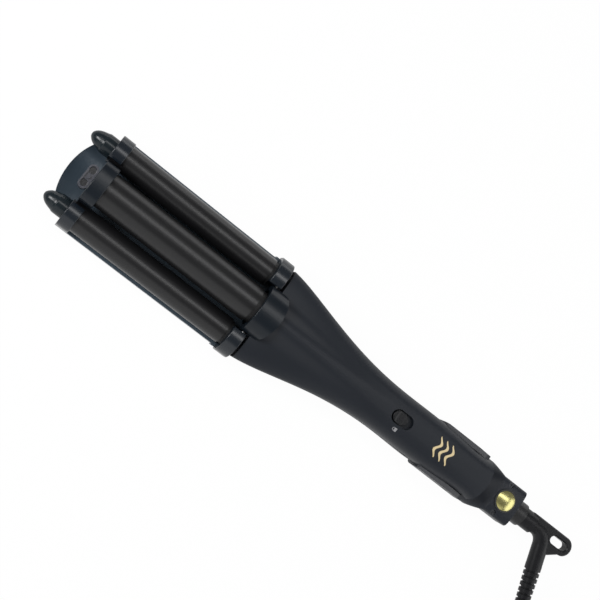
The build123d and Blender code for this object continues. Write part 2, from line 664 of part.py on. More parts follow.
def rear_cap():
    """The top of the hub and block, held by two screws."""
    cap = rear_form() & box(x_hub, x_block_end + 1, -30, 30, CAP_SPLIT_Z, 40)
    cap -= button_room()
    cap -= rod_x(x_button, x_block_end + 1, 0, SWIVEL_Z, SHAFT_R - 1.2)
    screw = rod_z(6.0, 30, x_screw, SCREW_SIDE, SCREW_R + FIT)
    screw += rod_z(BLOCK_TOP_Z - 2.6, 30, x_screw, SCREW_SIDE, SCREW_HEAD_R + SEAT)
    return cap - both(screw)


def cap_screws():
    top = BLOCK_TOP_Z - 1.4
    screw = rod_z(BLOCK_TOP_Z - 2.6, top, x_screw, SCREW_SIDE, SCREW_HEAD_R)
    screw += rod_z(6.2, top - 0.5, x_screw, SCREW_SIDE, SCREW_R)
    screw -= box(x_screw - 1.2, x_screw + 1.2, SCREW_SIDE - 0.25, SCREW_SIDE + 0.25, top - 0.6, top + 1)
    screw -= box(x_screw - 0.25, x_screw + 0.25, SCREW_SIDE - 1.2, SCREW_SIDE + 1.2, top - 0.6, top + 1)
    return both(screw)


def hinge_pin():
    return rod_y(-CHEEK_HALF + GAP, CHEEK_HALF - GAP, x_pin, PIN_Z, PIN_R)


def opening_spring():
    """A close-wound torsion spring round the pin; one leg presses the floor, the other the upper arm."""
    wire_r, pitch = SPRING_WIRE / 2, SPRING_WIRE * 0.92
    width = pitch * (SPRING_COILS - 1)
    spring = Part()
    for i in range(SPRING_COILS):
        ring = Pos(x_pin, i * pitch - width / 2, PIN_Z) * Rot(90, 0, 0) * Torus(SPRING_R, wire_r)
        spring += ring
    high = high_low_z - GAP - wire_r
    reach = (SPRING_R**2 - (high - PIN_Z) ** 2) ** 0.5
    spring += rod_x(x_pin - SPRING_R - SPRING_LEG, x_pin - reach, width / 2, high, wire_r)
    low = FLOOR_T + wire_r + SEAT
    foot = (x_pin - SPRING_R - SPRING_LEG * 0.7, -width / 2, low)
    return spring + rod_between((x_pin - SPRING_R * 0.8, -width / 2, PIN_Z - SPRING_R * 0.6), foot, wire_r)


def supply_leads():
    """The lead from the swivel to the board, under the switch and the hinge."""
    points = [
        (x_block_end - 0.5, 0, SWIVEL_Z - 1.3),
        (x_button - 5.0, 0, SWIVEL_Z - 1.3),
        (x_hub + 4, 0, 6.2),
        (x_cheek - 6, 0, 6.2),
        (x_board_end + 10, 0, BOARD_Z + 4.2),
        (x_board_end - 2, 0, BOARD_Z + 4.2),
    ]
    return tube_along(points, [9, 9, 25, 25], SUPPLY_R)


def power_switch():
    half = SWITCH_SIZE / 2
    board_half = 5.9
    switch = box(x_button - board_half, x_button + board_half, -5.9, 5.9, SWITCH_Z, SWITCH_Z + 1.2)
    switch += box(x_button - half, x_button + half, -half, half, SWITCH_Z + 1.2, SWITCH_Z + 3.8)
    return switch + rod_z(SWITCH_Z + 3.8, button_low_z - 1.8, x_button, 0, 1.7)


def power_button():
    """A domed button with a rim below that the bezel holds in."""
    r = BUTTON_R
    top = BLOCK_TOP_Z + BEZEL_PROUD
    dome_r = (r**2 + BUTTON_DOME**2) / (2 * BUTTON_DOME)
    body = rod_z(button_low_z, top, x_button, 0, r)
    dome = Pos(x_button, 0, top + BUTTON_DOME - dome_r) * Sphere(dome_r)
    dome &= rod_z(top - 0.5, top + BUTTON_DOME + 1, x_button, 0, r)
    rim = rod_z(button_low_z, button_low_z + 0.9, x_button, 0, r + BEZEL_W * 0.6)
    plunger = rod_z(button_low_z - 0.8, button_low_z, x_button, 0, 1.5)
    return body + dome + rim + plunger


def button_bezel():
    low, high = button_low_z + 0.9 + GAP, BLOCK_TOP_Z + BEZEL_PROUD
    r = BUTTON_R + GAP / 3
    return rod_z(low, high, x_button, 0, r + BEZEL_W) - rod_z(low - 1, high + 1, x_button, 0, r)


def swivel_bush():
    """A bush on the block's rear face that holds the swivel's flange."""
    bush = rod_x(x_block_end, x_bush_end, 0, SWIVEL_Z, BUSH_R)
    bush -= rod_x(x_block_end - 1, x_block_end + FLANGE_LENGTH + 2 * GAP, 0, SWIVEL_Z, FLANGE_R + RUN)
    return bush - rod_x(x_block_end, x_bush_end + 1, 0, SWIVEL_Z, SHAFT_R + RUN)


# ------------------------------------------------------------------ upper arm
def hinge_lugs(outer):
    """The walls inside the cheeks that carry the cover on the hinge pin."""
    wall = box(x_cheek - 4, x_wall_end, lug_in, lug_out, high_low_z, 40)
    return both((wall & outer) + rod_y(lug_in, lug_out, x_pin, PIN_Z, LUG_R))


def knob_room():
    """The recess in which the lock's knob slides: a stadium as long as knob and travel."""
    length = KNOB_LENGTH + LOCK_TRAVEL + 2 * RECESS_END
    x_mid = x_knob + LOCK_TRAVEL / 2
    stadium = Pos(x_mid, 0, recess_z) * SlotOverall(length, RECESS_WIDTH)
    slot = box(
        x_knob - STEM_X / 2 - GAP, x_knob + STEM_X / 2 + LOCK_TRAVEL + GAP,
        -STEM_Y / 2 - GAP, STEM_Y / 2 + GAP, pad_z - 1, recess_z + 1,
    )
    return extrude(stadium, amount=10) + slot


def upper_cover():
    """The flared cover with its tongue, the lock's recess, hinge walls and screw posts."""
    outer = cover_body(x_flare, x_tongue, 0, high_low_z)
    x_round = x_tongue - TONGUE_R
    outer &= rod_z(-50, 80, x_round, 0, TONGUE_R) + box(x_flare - 5, x_round, -60, 60, -50, 80)
    cover = outer - cover_body(x_flare + COVER_WALL, x_tongue + 5, COVER_WALL, high_low_z - 5)
    length = KNOB_LENGTH + LOCK_TRAVEL + 2 * RECESS_END + 4
    x_mid = x_knob + LOCK_TRAVEL / 2
    pad_half = RECESS_WIDTH / 2 + 2
    pad = box(x_mid - length / 2, x_mid + length / 2, -pad_half, pad_half, pad_z, 40)
    cover += pad & outer
    relief = rod_y(lug_out, 30, x_pin, PIN_Z, PIN_BEHIND_CHEEK + 2 * GAP)
    relief &= box(x_cheek - 9, x_tongue + 9, 0, 30, -30, overhang_z)
    cover -= both(relief)
    cover -= box(x_wall_end, x_tongue + 5, -30, 30, 0, overhang_z)
    cover += hinge_lugs(outer)
    cover -= knob_room()
    for x, y in high_screws:
        cover += rod_z(high_low_z + INNER_COVER_T, 40, x, y, BOSS_POST_R) & outer
        cover -= rod_z(high_low_z, high_low_z + 7.5, x, y, INNER_SCREW_R + FIT)
    cover -= rod_x(x_flare - 1, x_flare + COVER_WALL + 1, 0, centre_z, SADDLE_SPIGOT_R + FIT)
    return cover - rod_y(-30, 30, x_pin, PIN_Z, PIN_R + RUN)


def upper_inner_cover():
    """The plate that closes the upper arm from below, with a slot for the lock's hook."""
    z1 = high_low_z + INNER_COVER_T
    x_step = x_cheek - 4 - SEAT
    plate = plan_plate(x_flare + COVER_WALL + SEAT, x_step, COVER_WALL + PLATE_GAP, high_low_z, z1)
    half = lug_in - SEAT
    plate += box(x_step - 1, x_pin - SPRING_R - SPRING_WIRE, -half, half, high_low_z, z1)
    x_slot, x_slot_end = x_knob - HOOK_T / 2 - 2.2, x_knob + HOOK_T / 2 + LOCK_TRAVEL + 1.4
    plate -= box(x_slot, x_slot_end, -4, 4, high_low_z - 1, z1 + 1)
    for x, y in high_screws:
        plate -= rod_z(high_low_z - 1, z1 + 1, x, y, INNER_SCREW_R + FIT)
        plate -= rod_z(high_low_z - 1, high_low_z + 1, x, y, SCREW_HEAD_R + SEAT)
    return plate


def centre_front_cap():
    """The cap on the front end of the centre barrel: an arch above and a ring round the barrel below."""
    z_top = centre_z + centre_r + CAP_OVER
    z_side = z_top - CAP_SHOULDER
    crown = half_crown(CAP_HALF, z_side, z_top, 0.7)
    cap = extrude(section(x_cap, CAP_HALF, SIDE_AXIS_Z + CAP_LOW, z_side, [], crown), amount=CAP_LENGTH)
    x_cap_end = x_cap + CAP_LENGTH
    crown_ends = cap.edges().filter_by(GeomType.BEZIER)
    cap = fillet(crown_ends, CAP_EDGE_R)
    cap += rod_x(x_cap, x_cap_end, 0, centre_z, centre_r + CAP_RING)
    return cap - rod_x(x_centre_barrel, x_cap_end + 1, 0, centre_z, centre_r + FIT)


def cap_boss():
    """An upright pill-shaped boss on the cap's front, with a bead in its dished top."""
    x_mid, top = x_cap - BOSS_WIDTH / 2, centre_z + BOSS_RISE
    pill = Rot(0, 0, 90) * SlotOverall(2 * BOSS_HALF, BOSS_WIDTH)
    dish = Rot(0, 0, 90) * SlotOverall(2 * (BOSS_HALF - BOSS_RIM), BOSS_WIDTH - 2 * BOSS_RIM)
    boss = extrude(Pos(x_mid, 0, top - BOSS_HEIGHT) * pill, amount=BOSS_HEIGHT)
    boss -= extrude(Pos(x_mid, 0, top - BOSS_DISH) * dish, amount=BOSS_DISH + 1)
    return boss + rod_z(top - BOSS_DISH - 0.2, top, x_mid, 0, BEAD_R)


def saddle_plan():
    """The saddle's outline in plan: its rear edge bulges to the rear, with rounded corners."""
    x_corner = x_saddle_end - SADDLE_BULGE
    rear = ThreePointArc((x_corner, -SADDLE_HALF), (x_saddle_end, 0), (x_corner, SADDLE_HALF))
    x0, half = x_saddle - 1, SADDLE_HALF
    plan = make_face(rear + Polyline((x_corner, half), (x0, half), (x0, -half), (x_corner, -half)))
    return fillet(plan.vertices().sort_by(Axis.X)[-2:], SADDLE_CORNER_R)


def centre_rear_collar():
    """The saddle that joins the centre barrel to the cover and laps over the cover's spine."""
    z_top = centre_z + centre_r + SADDLE_OVER
    crown = half_crown(SADDLE_HALF, centre_z + 1, z_top, 0.62)
    arch = section(x_saddle, SADDLE_HALF, SIDE_AXIS_Z + 5, centre_z + 1, [], crown)
    front = extrude(arch, amount=x_flare - x_saddle)
    front_edges = front.edges().filter_by(GeomType.BEZIER)
    front_edges = front_edges.filter_by_position(Axis.X, x_saddle - 0.1, x_saddle + 0.1)
    front = fillet(front_edges, COLLAR_EDGE_R)
    front += rod_x(x_saddle, x_flare - GAP, 0, centre_z, centre_r + SADDLE_RING)
    lap = extrude(Pos(x_flare - x_saddle, 0, 0) * arch, amount=x_saddle_end - x_flare)
    lap &= extrude(saddle_plan(), amount=2 * z_top)
    lap -= cover_body(x_flare, x_tongue, -SEAT, 0)
    saddle = front + lap
    saddle -= rod_x(x_saddle - 1, x_saddle + SADDLE_RECESS, 0, centre_z, SADDLE_RECESS_R)
    saddle -= rod_x(x_saddle, x_centre_end + 5 + SEAT, 0, centre_z, centre_r - 1 + FIT)
    saddle += rod_x(x_flare - 1, x_flare + COVER_WALL + 2, 0, centre_z, SADDLE_SPIGOT_R)
    return saddle - rod_x(x_saddle, x_flare + COVER_WALL + 3, 0, centre_z, LEAD_HOLE_R)


def centre_leads():
    """The centre heater's lead: out of the barrel, through the saddle and along the upper arm."""
    z = high_low_z + INNER_COVER_T + LEAD_R + SEAT
    points = [
        (x_centre_end - PLUG_IN - 2, 0, centre_z),
        (x_flare + 16, 0, centre_z),
        (x_flare + 34, 10.5, z),
        (x_cheek - 44, 10.0, z),
        (x_cheek - 14, 5.5, z + 0.2),
        (x_cheek + 10, 6.5, z),
    ]
    return tube_along(points, [14, 14, 40, 40], LEAD_R)


# ------------------------------------------------------------------ lock
def lock_slider():
    """The knob, dished between two ridges, and its stem through the cover."""
    top = GRIP_TOP_Z + KNOB_PROUD
    bottom = recess_z + SEAT
    knob = extrude(Pos(x_knob, 0, bottom) * SlotOverall(KNOB_LENGTH, KNOB_WIDTH), amount=top - bottom)
    knob = fillet(knob.edges().filter_by_position(Axis.Z, top - 0.1, top + 0.1), 0.9)
    knob -= rod_y(-KNOB_WIDTH, KNOB_WIDTH, x_knob, top + 5.6, 6.4)
    stem = box(
        x_knob - STEM_X / 2, x_knob + STEM_X / 2, -STEM_Y / 2, STEM_Y / 2, pad_z - 5, recess_z + 1,
    )
    return knob + stem


def lock_hook():
    """A block under the pad that holds the stem, with a shank and a nib that hooks under the catch."""
    top = pad_z - GAP
    block = box(x_knob - STEM_X / 2 - 1.6, x_knob + STEM_X / 2 + 1.6, -4, 4, top - 5.6, top)
    half_x, half_y = STEM_X / 2 + FIT, STEM_Y / 2 + FIT
    block -= box(x_knob - half_x, x_knob + half_x, -half_y, half_y, pad_z - 5 - FIT, top + 1)
    front = x_knob - HOOK_T / 2
    shank = box(front, front + HOOK_T, -HOOK_W / 2, HOOK_W / 2, nib_top_z - NIB_T, top - 5)
    nib = box(front - NIB_LENGTH, front + 0.5, -HOOK_W / 2, HOOK_W / 2, nib_top_z - NIB_T, nib_top_z)
    return block + shank + nib


# ------------------------------------------------------------------ swivel, moulding and cord
def plan_way(angle):
    return Vector(cos(radians(angle)), sin(radians(angle)), 0)


branch_way = plan_way(BRANCH_DEG)
branch_knee = Vector(x_loop + BRANCH_X, 0, SWIVEL_Z)
boot_start = branch_knee + branch_way * BRANCH_LENGTH
boot_end = boot_start + branch_way * BOOT_LENGTH
coil_side = plan_way(BRANCH_DEG + 90)
coil_z = TIE_T + COIL_HIGH * CORD_D / 2
coil_entry = boot_end + branch_way * CORD_RUN
coil_middle = Vector(coil_entry.X + coil_side.X * COIL_R, coil_entry.Y + coil_side.Y * COIL_R, 0)
coil_entry_z = TIE_T + CORD_D * 1.5
coil_top_z = TIE_T + COIL_HIGH * CORD_D
plug_z = coil_top_z + PLUG_T / 2


def swivel_shaft():
    """A flange held in the bush and a shaft that carries the moulding, bored for the cord's leads."""
    shaft = rod_x(x_block_end + GAP, x_block_end + GAP + FLANGE_LENGTH, 0, SWIVEL_Z, FLANGE_R)
    shaft += rod_x(x_block_end + GAP, x_loop + SHAFT_IN_LOOP, 0, SWIVEL_Z, SHAFT_R)
    return shaft - rod_x(x_block_end, x_loop + SHAFT_IN_LOOP + 1, 0, SWIVEL_Z, LEAD_HOLE_R)


def cord_relief_loop():
    """The Y-shaped moulding: a sleeve on the swivel, a flat loop with a slot, and a branch to the boot."""
    x_end = x_loop + LOOP_LENGTH
    top = LOOP_END_R + 0.3
    branch_edge = branch_knee + branch_way * (BRANCH_LENGTH * 0.62) + coil_side * (BRANCH_R * 0.7)
    outline = Polyline(
        (x_loop + 7, top), (x_end, top), (x_end, 0.3 - LOOP_END_R),
        (branch_edge.X, branch_edge.Y), (branch_knee.X - 6, -4), (x_loop + 7, -4), close=True,
    )
    web = make_face(outline) + Pos(x_end, 0.3) * Circle(LOOP_END_R)
    web -= Pos(x_end - (SLOT_LENGTH - SLOT_WIDTH) / 2, 0) * SlotOverall(SLOT_LENGTH, SLOT_WIDTH)
    plate = extrude(Pos(0, 0, SWIVEL_Z - LOOP_T / 2) * web, amount=LOOP_T)
    flats = plate.faces().sort_by(Axis.Z)
    plate = chamfer(flats[-1].edges() + flats[0].edges(), 0.9)
    sleeve = rod_x(x_loop, x_loop + 11, 0, SWIVEL_Z, LOOP_SLEEVE_R)
    start = (x_loop + 8, 0, SWIVEL_Z)
    branch = tube_along([start, tuple(branch_knee), tuple(boot_start)], [BRANCH_BEND], BRANCH_R)
    bore = rod_x(x_loop - 1, x_loop + SHAFT_IN_LOOP + SEAT, 0, SWIVEL_Z, SHAFT_R + FIT)
    return plate + sleeve + branch - bore


def cord_boot():
    """A tapered bend relief with ribs, from the moulding to the cord."""
    count = ceil((BOOT_LENGTH - 2) / RIB_PITCH)
    outline = [(0, 0), (0, BOOT_R)]
    for i in range(count):
        start = 1.5 + i * RIB_PITCH
        stop = min(start + RIB_WIDTH, BOOT_LENGTH)
        r = BOOT_R + (BOOT_END_R - BOOT_R) * start / BOOT_LENGTH
        outline += [(start, r - BOOT_GROOVE), (start, r), (stop, r), (stop, r - BOOT_GROOVE)]
    outline[2] = (1.5, BOOT_R)
    outline += [(BOOT_LENGTH, BOOT_END_R - BOOT_GROOVE), (BOOT_LENGTH, 0)]
    clean = [p for i, p in enumerate(outline) if i == 0 or p != outline[i - 1]]
    boot = revolve(make_face(Polyline(*clean, close=True)), axis=Axis.X, revolution_arc=360)
    return Pos(*boot_start) * Rot(0, 0, BRANCH_DEG) * boot


# The cord's route from the boot to the coil: how far along, and how high, at each point.
cord_steps = [(2 * SEAT, SWIVEL_Z), (9, 14.1), (18.5, 12.9), (27.5, 11.5), (CORD_RUN, coil_entry_z)]
# The tail's route from the coil's top turn to the plug: angle before the plug, and height over the coil.
tail_steps = [(-75, -6.0), (-57, -2.4), (-39, 2.4), (-20, 6.4)]


def bend_radii(points):
    """0.45 of the shorter run over the tangent of half the turn, at each inner point."""
    radii = []
    for a, b, c in zip(points, points[1:], points[2:]):
        before, after = Vector(*b) - Vector(*a), Vector(*c) - Vector(*b)
        turn = radians(before.get_angle(after))
        radii.append(0.45 * min(before.length, after.length) / tan(turn / 2))
    return radii


def round_coil(angle, z):
    """A point on the middle turn of the coil."""
    return (
        coil_middle.X + COIL_R * cos(radians(angle)),
        coil_middle.Y + COIL_R * sin(radians(angle)),
        z,
    )


def mains_cord():
    points = []
    for far, z in cord_steps:
        place = boot_end + branch_way * far
        points.append((place.X, place.Y, z))
    radii = bend_radii(points)
    print("mains_cord bend radii", [round(r, 1) for r in radii])
    return tube_along(points, radii, CORD_D / 2)


def cord_tail():
    points = [round_coil(PLUG_DEG + angle, coil_top_z + z) for angle, z in tail_steps]
    rear = plug_place() * Pos(-PLUG_LENGTH / 2 - GAP, 0, 0)
    points.append(tuple(rear.position))
    radii = bend_radii(points)
    print("cord_tail bend radii", [round(r, 1) for r in radii])
    return tube_along(points, radii, CORD_D / 2)


def cord_coil():
    """The coiled length of the cord as one solid, the height of the tie's band above the surface."""
    half = COIL_ACROSS * CORD_D / 2
    height = COIL_HIGH * CORD_D
    outline = Pos(COIL_R, coil_z) * RectangleRounded(2 * half, height, CORD_D / 2)
    ring = revolve(Plane.XZ * outline, axis=Axis.Z, revolution_arc=360)
    return Pos(coil_middle.X, coil_middle.Y, 0) * ring


def cord_tie():
    """A hook-and-loop band round the turns."""
    half = COIL_ACROSS * CORD_D / 2
    band = Pos(COIL_R, coil_z) * Rectangle(2 * (half + TIE_T), COIL_HIGH * CORD_D + 2 * TIE_T)
    band = extrude(Plane.XZ * band, amount=TIE_W / 2, both=True)
    place = Pos(coil_middle.X, coil_middle.Y, 0) * Rot(0, 0, TIE_DEG)
    return place * band - cord_coil()


def plug_place():
    """Where the plug lies on the coil: its own X points the way its pins do."""
    x, y, _ = round_coil(PLUG_DEG, 0)
    return Pos(x, y, plug_z) * Rot(0, 0, PLUG_DEG + PLUG_TURN) * Pos(PLUG_LENGTH / 2, 0, 0)


def plug_body():
    """A flat two-pin plug: six-sided at the pins and narrowing to the cord."""
    half, waist = PLUG_LENGTH / 2, CORD_D
    side = PLUG_W / 2
    outline = Polyline(
        (half, side - 4), (half - 4, side), (half - 14, side), (-half, waist),
        (-half, -waist), (half - 14, -side), (half - 4, -side), (half, 4 - side), close=True,
    )
    body = extrude(Pos(0, 0, -PLUG_T / 2) * make_face(outline), amount=PLUG_T)
    flats = body.faces().sort_by(Axis.Z)
    body = chamfer(flats[-1].edges() + flats[0].edges(), 1.5)
    return plug_place() * body


def plug_pins():
    start = PLUG_LENGTH / 2
    pin = rod_x(start, start + PLUG_PIN_LENGTH, PIN_PITCH / 2, 0, PLUG_PIN_R)
    return plug_place() * both(pin)


# ------------------------------------------------------------------ all nodes
def all_nodes():
    core_end = x_centre_end - PLUG_IN - 2
    nodes = {
        "lower_handle_shell": lower_handle_shell(),
        "lower_inner_cover": lower_inner_cover(),
        "lower_cover_screws": inner_screws(low_screws, low_top_z, 6.0, 1),
        "head_tray": head_tray(),
        "catch_plate": catch_plate(),
        "control_board": control_board(),
        "side_heater_leads": both(side_leads()),
        "hinge_housing": hinge_housing(),
        "rear_cap": rear_cap(),
        "cap_screws": cap_screws(),
        "hinge_pin": hinge_pin(),
        "opening_spring": opening_spring(),
        "supply_leads": supply_leads(),
        "power_switch": power_switch(),
        "power_button": power_button(),
        "button_bezel": button_bezel(),
        "swivel_bush": swivel_bush(),
        "upper_cover": upper_cover(),
        "upper_inner_cover": upper_inner_cover(),
        "upper_cover_screws": inner_screws(high_screws, high_low_z, high_low_z + 7.0, -1),
        "centre_barrel": barrel(x_centre_barrel, x_centre_end, 0, centre_z, centre_r),
        "centre_heat_spreader": heat_spreader(x_centre_barrel + 4, core_end, 0, centre_z, centre_r),
        "centre_heater": heater(x_centre_barrel + 6, core_end, 0, centre_z),
        "centre_insulator": insulator(x_centre_end, 5, 0, 0, centre_z, centre_r, 6),
        "centre_front_cap": centre_front_cap(),
        "cap_boss": cap_boss(),
        "centre_rear_collar": centre_rear_collar(),
        "centre_heater_leads": centre_leads(),
        "lock_slider": lock_slider(),
        "lock_hook": lock_hook(),
        "swivel_shaft": swivel_shaft(),
        "cord_relief_loop": cord_relief_loop(),
        "cord_boot": cord_boot(),
        "mains_cord": mains_cord(),
        "cord_coil": cord_coil(),
        "cord_tie": cord_tie(),
        "cord_tail": cord_tail(),
        "plug_body": plug_body(),
        "plug_pins": plug_pins(),
    }
    core_end = x_barrel_end - PLUG_IN - 2
    z, r = SIDE_AXIS_Z, side_r
    for name, side in (("left", 1), ("right", -1)):
        y = side * side_y
        nodes[f"side_barrel_{name}"] = barrel(x_barrel, x_barrel_end, y, z, r)
        nodes[f"side_heat_spreader_{name}"] = heat_spreader(x_barrel + 4, core_end, y, z, r)
        nodes[f"side_heater_{name}"] = heater(x_barrel + 6, core_end, y, z)
        nodes[f"side_insulator_{name}"] = insulator(x_barrel_end, INSULATOR_SHOWN, 3, y, z, r, SIDE_NECK_R)
        nodes[f"front_collar_{name}"] = on_side(front_collar(), side)
        nodes[f"rear_collar_{name}"] = on_side(rear_collar(), side)
        nodes[f"side_tip_{name}"] = on_side(side_tip(), side)
    return nodes


os.makedirs("parts", exist_ok=True)
for name, piece in all_nodes().items():
    export_step(piece, f"parts/{name}.step")
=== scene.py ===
# %% [markdown]
# # A three-barrel hair waver
#
# The waver is a pair of tongs. Two heated barrels lie in a shallow tray on the lower arm, and a third, on the
# upper arm, closes between them and presses a wave into the hair. The solids come from the CAD model. This lesson
# dresses them: it gives every part its finish, lays the cord as one smooth curve, and adds the small printed
# details that a solid model leaves out.

import bpy
import math
import numpy as np
from mathutils import Matrix, Vector


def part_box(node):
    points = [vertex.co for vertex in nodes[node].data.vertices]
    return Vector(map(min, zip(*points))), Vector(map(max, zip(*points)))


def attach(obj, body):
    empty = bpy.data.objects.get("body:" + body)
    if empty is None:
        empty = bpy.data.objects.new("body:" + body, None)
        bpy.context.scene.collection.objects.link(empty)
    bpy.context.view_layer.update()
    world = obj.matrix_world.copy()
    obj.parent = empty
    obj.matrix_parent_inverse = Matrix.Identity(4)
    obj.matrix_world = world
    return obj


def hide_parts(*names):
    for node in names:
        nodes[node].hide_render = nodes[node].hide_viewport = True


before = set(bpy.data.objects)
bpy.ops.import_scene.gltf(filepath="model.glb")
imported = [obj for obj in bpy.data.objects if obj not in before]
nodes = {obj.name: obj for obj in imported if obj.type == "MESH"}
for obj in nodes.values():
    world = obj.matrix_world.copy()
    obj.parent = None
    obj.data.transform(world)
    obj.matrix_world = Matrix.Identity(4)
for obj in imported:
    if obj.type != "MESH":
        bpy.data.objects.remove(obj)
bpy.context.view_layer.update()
scene = bpy.context.scene

# %% [markdown]
# ## Where the camera stands
#
# The tool lies flat and is seen from above, a little from its tip and from its right side. A camera needs three
# things: a place, the directions of its right and upper edges, and a lens. Writing the two directions out keeps
# the turn of the tool in the frame exact, where aiming at a point would leave it to chance.

# %% camera
CAMERA_PLACE = Vector((-0.1756, -0.0608, 0.6966))
CAMERA_RIGHT = Vector((0.76647, 0.59480, 0.24260))
CAMERA_UP = Vector((-0.60538, 0.79516, -0.03690))
LENS_MM = 63.6


def camera_from_axes(place, right, up, lens):
    """A camera whose matrix columns are its right edge, its upper edge and the way back from the view."""
    right = right.normalized()
    up = (up - right * up.dot(right)).normalized()
    back = right.cross(up)
    data = bpy.data.cameras.new("camera")
    data.lens, data.sensor_width = lens, 36.0
    data.clip_start, data.clip_end = 0.01, 20.0
    camera = bpy.data.objects.new("camera", data)
    camera.matrix_world = Matrix((
        (right.x, up.x, back.x, place.x),
        (right.y, up.y, back.y, place.y),
        (right.z, up.z, back.z, place.z),
        (0, 0, 0, 1),
    ))
    scene.collection.objects.link(camera)
    return camera


camera = camera_from_axes(CAMERA_PLACE, CAMERA_RIGHT, CAMERA_UP, LENS_MM)
scene.camera = camera
print("camera stands", round(CAMERA_PLACE.z, 3), "m up")

# %% [markdown]
# ## Shader maths as plain expressions
#
# A finish is a small calculation: noise here, a mask there, a curve between two colours. Wrapping a socket in a
# class whose plus, minus and times add Math nodes lets the calculation be read as one line.

# %% a socket that does arithmetic
class Wire:
    """A shader socket. Arithmetic on it adds Math nodes and gives another Wire."""

    def __init__(self, tree, socket):
        self.tree, self.socket = tree, socket

    def math(self, operation, *others):
        node = self.tree.nodes.new("ShaderNodeMath")
        node.operation = operation
        for slot, value in zip(node.inputs, (self, *others)):
            if isinstance(value, Wire):
                self.tree.links.new(value.socket, slot)
            else:
                slot.default_value = value
        return Wire(self.tree, node.outputs[0])

    def __add__(self, other):
        return self.math("ADD", other)

    def __sub__(self, other):
        return self.math("SUBTRACT", other)

    def __mul__(self, other):
        return self.math("MULTIPLY", other)

    def __truediv__(self, other):
        return self.math("DIVIDE", other)

    def __rsub__(self, other):
        return (self * -1).math("ADD", other)

    def __pow__(self, other):
        return self.math("POWER", other)

    def abs(self):
        return self.math("ABSOLUTE")

    def sin(self):
        return self.math("SINE")

    def clamp(self):
        node = self.math("ADD", 0.0)
        node.socket.node.use_clamp = True
        return node

    __radd__ = __add__
    __rmul__ = __mul__


class Finish:
    """A material under construction: one Principled shader and the nodes that feed it."""

    def __init__(self, name, **constants):
        self.material = bpy.data.materials.new(name)
        self.material.use_nodes = True
        self.tree = self.material.node_tree
        self.tree.nodes.clear()
        self.shader = self.tree.nodes.new("ShaderNodeBsdfPrincipled")
        out = self.tree.nodes.new("ShaderNodeOutputMaterial")
        self.tree.links.new(self.shader.outputs[0], out.inputs[0])
        for key, value in constants.items():
            self.shader.inputs[key.replace("_", " ")].default_value = value

    def node(self, kind, settings=None, output=0, **inputs):
        """Any node: its settings first, then the values or wires of its sockets, and one output back."""
        made = self.tree.nodes.new(kind)
        for key, value in (settings or {}).items():
            setattr(made, key, value)
        for key, value in inputs.items():
            numbered = key[0] == "i" and key[1:].isdigit()
            slot = made.inputs[int(key[1:]) if numbered else key.replace("_", " ")]
            if isinstance(value, Wire):
                self.tree.links.new(value.socket, slot)
            else:
                slot.default_value = value
        return Wire(self.tree, made.outputs[output])

    def place(self):
        """The point on the object, in metres."""
        return self.node("ShaderNodeTexCoord", output=3)

    def axes(self):
        """The point's x, y and z as three wires."""
        split = self.tree.nodes.new("ShaderNodeSeparateXYZ")
        self.tree.links.new(self.place().socket, split.inputs[0])
        return [Wire(self.tree, s) for s in split.outputs]

    def noise(self, scale, detail=2.0, rough=0.5):
        return self.node("ShaderNodeTexNoise", Vector=self.place(), Scale=scale, Detail=detail, Roughness=rough)

    def mix(self, mask, low, high):
        """Two colours blended by a mask."""
        return self.node("ShaderNodeMix", {"data_type": "RGBA"}, output=2, i0=mask, i6=low, i7=high)

    def vary(self, mask, base, spread):
        """A colour that goes from a share below its base to the same share above it, by a mask."""
        return self.mix(mask, shade(*[c * (1 - spread) for c in base]), shade(*[c * (1 + spread) for c in base]))

    def bump(self, height, distance, strength=1.0):
        return self.node("ShaderNodeBump", Height=height, Distance=distance, Strength=strength)

    def feed(self, **wires):
        """Connects what varies over the surface."""
        for key, wire in wires.items():
            self.tree.links.new(wire.socket, self.shader.inputs[key.replace("_", " ")])
        return self.material


def shade(r, g, b):
    return (r, g, b, 1.0)


print("shader helpers ready")

# %% [markdown]
# ## Soft-touch black for the handle
#
# The handle is moulded in ABS and sprayed with a rubbery paint. It is near black but never quite: light falls off
# it softly. A fine noise in the bump is the paint's grain, and a slow one in the roughness is where hands polish it.

# %% soft-touch paint
def soft_touch(name, base, roughness):
    """Dark rubbery paint: grain of 0.3 mm in the bump, slow patches in the roughness."""
    f = Finish(name, Specular_IOR_Level=0.26)
    grain = f.noise(2600.0, 3.0, 0.6)
    patches = f.noise(22.0, 3.0, 0.55)
    tone = f.vary(patches, base, 0.12)
    return f.feed(
        Base_Color=tone,
        Roughness=roughness - 0.05 + patches * 0.10,
        Normal=f.bump(grain, 0.00004, 0.6),
    )


handle_paint = soft_touch("soft_touch_paint", (0.0090, 0.0115, 0.0165), 0.50)
housing_paint = soft_touch("housing_paint", (0.0100, 0.0125, 0.0180), 0.44)
print("paint:", handle_paint.name, housing_paint.name)

# %% painted light on the hinge's cheeks
def paint_with_painted_light(name, low, high, height):
    """The housing's paint, with a lighter tone above a height: painted light on the cheeks' tops, which lie in the
    cover's shade.
    """
    f = Finish(name, Specular_IOR_Level=0.26)
    _, _, z = f.axes()
    # above this height the tone is lighter: painted light on the cheeks' tops, which stand in the cover's shade
    painted_light_mask = ((z - height) * 2500.0).clamp()
    grain = f.noise(2600.0, 3.0, 0.6)
    patches = f.noise(22.0, 3.0, 0.55)
    return f.feed(
        Base_Color=f.mix(painted_light_mask, shade(*low), shade(*high)),
        Roughness=patches * 0.10 + 0.40,
        Normal=f.bump(grain, 0.00004, 0.6),
    )
